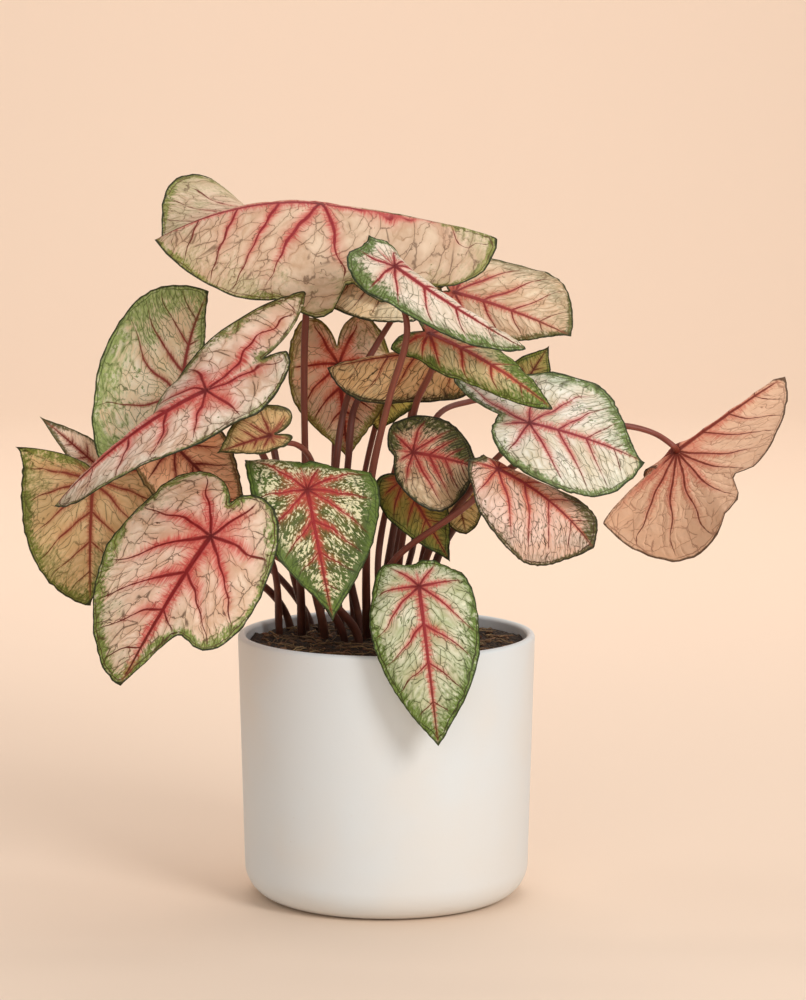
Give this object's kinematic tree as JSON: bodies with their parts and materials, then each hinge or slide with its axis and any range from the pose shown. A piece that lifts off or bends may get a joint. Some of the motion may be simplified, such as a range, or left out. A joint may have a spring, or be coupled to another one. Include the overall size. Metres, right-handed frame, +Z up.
{
  "type": "potted caladium",
  "caption": "Caladium house plant with heart-shaped, veined leaves on slender leaf stalks rising from soil in a plain round white pot.",
  "frame": {"origin": "centre of the pot's flat underside, on the surface that it stands on", "axes": "+Z up along the pot's axis; -Y towards the plant's fullest side; +X to the right seen from there"},
  "size_m": [0.464, 0.221, 0.4362],
  "materials": {
    "pot": "matte white glaze, softly rounded edges",
    "soil": "dark crumbly potting mix with bark chips and fibres",
    "petiole": "smooth maroon-brown leaf stalk, slightly glossy",
    "leaf_pink": "thin satin blade, blush pink between crimson veins",
    "leaf_tan": "thin satin blade, peach-tan with red-brown veins",
    "leaf_green": "thin satin blade, mottled green with red veins",
    "leaf_white": "thin satin blade, cream white with a fine green net",
    "leaf_olive": "thin satin blade, olive and yellow-green"
  },
  "bodies": {
    "root": {"pot": "pot", "soil": "soil", "leaf_crown": "leaf_pink", "petiole_crown": "petiole", "leaf_left_star": "leaf_pink", "petiole_left_star": "petiole", "leaf_left_back": "leaf_green", "petiole_left_back": "petiole", "leaf_left_slim": "leaf_tan", "petiole_left_slim": "petiole", "leaf_far_left": "leaf_tan", "petiole_far_left": "petiole", "leaf_front_left": "leaf_pink", "petiole_front_left": "petiole", "leaf_front_mid": "leaf_green", "petiole_front_mid": "petiole", "leaf_over_rim": "leaf_white", "petiole_over_rim": "petiole", "leaf_right_pink": "leaf_pink", "petiole_right_pink": "petiole", "leaf_right_dark": "leaf_green", "petiole_right_dark": "petiole", "leaf_low_dark": "leaf_green", "petiole_low_dark": "petiole", "leaf_low_small": "leaf_olive", "petiole_low_small": "petiole", "leaf_right_white": "leaf_white", "petiole_right_white": "petiole", "leaf_upper_white": "leaf_white", "petiole_upper_white": "petiole", "leaf_back_right": "leaf_tan", "petiole_back_right": "petiole", "leaf_under_crown": "leaf_tan", "petiole_under_crown": "petiole", "leaf_back_mid": "leaf_pink", "petiole_back_mid": "petiole", "leaf_mid_flat": "leaf_tan", "petiole_mid_flat": "petiole", "leaf_mid_green": "leaf_green", "petiole_mid_green": "petiole", "leaf_back_corner": "leaf_green", "petiole_back_corner": "petiole", "leaf_far_right": "leaf_tan", "petiole_far_right": "petiole", "leaf_left_under": "leaf_tan", "petiole_left_under": "petiole", "leaf_young": "leaf_olive", "petiole_young": "petiole", "leaf_old_olive": "leaf_olive", "petiole_old_olive": "petiole"}
  },
  "joints": []
}
